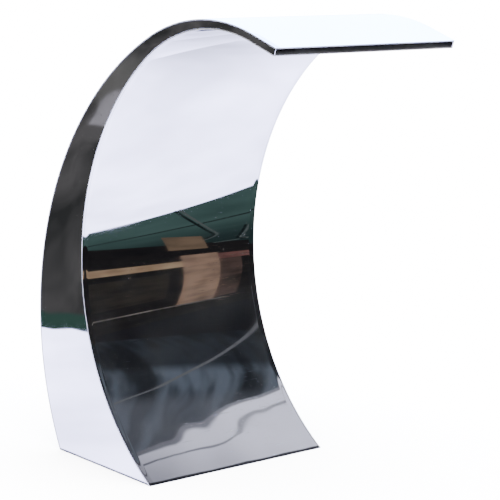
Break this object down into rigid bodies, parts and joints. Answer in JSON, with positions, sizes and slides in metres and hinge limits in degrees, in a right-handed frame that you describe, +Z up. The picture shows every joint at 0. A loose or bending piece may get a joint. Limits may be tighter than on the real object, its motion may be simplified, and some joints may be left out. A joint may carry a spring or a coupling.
{
  "type": "sheet waterfall fountain",
  "caption": "Crescent-shaped hollow fountain body of polished stainless sheet; water rises from a socket in the base and leaves as a flat sheet from the slot at the tip of its spout.",
  "frame": {"origin": "on the axis of the inlet socket, in the plane the fountain stands on", "axes": "+Z up through the inlet socket, the spout points along -Y, +X across the width"},
  "size_m": [0.3, 0.4509, 0.6],
  "materials": {
    "polished_skin_sheet": "mirror polished",
    "polished_side_sheet": "mirror polished",
    "mill_finish_steel": "satin mill finish",
    "turned_steel": "turned",
    "brass": "turned"
  },
  "bodies": {
    "root": {"side_plate_left": "polished_side_sheet", "side_plate_right": "polished_side_sheet", "back_skin": "polished_skin_sheet", "front_skin": "polished_skin_sheet", "chamber_floor": "mill_finish_steel", "inlet_socket": "turned_steel", "deflector_plate": "mill_finish_steel", "deflector_struts": "mill_finish_steel", "lower_baffle": "mill_finish_steel", "upper_baffle": "mill_finish_steel", "rib_left": "mill_finish_steel", "rib_centre": "mill_finish_steel", "rib_right": "mill_finish_steel", "lip_spacers": "mill_finish_steel", "anchor_bar_left": "mill_finish_steel", "anchor_bar_right": "mill_finish_steel", "anchor_nuts": "turned_steel", "bonding_tab": "mill_finish_steel", "bonding_screw": "turned_steel", "bonding_washers": "turned_steel", "bonding_nut": "brass"}
  },
  "joints": []
}
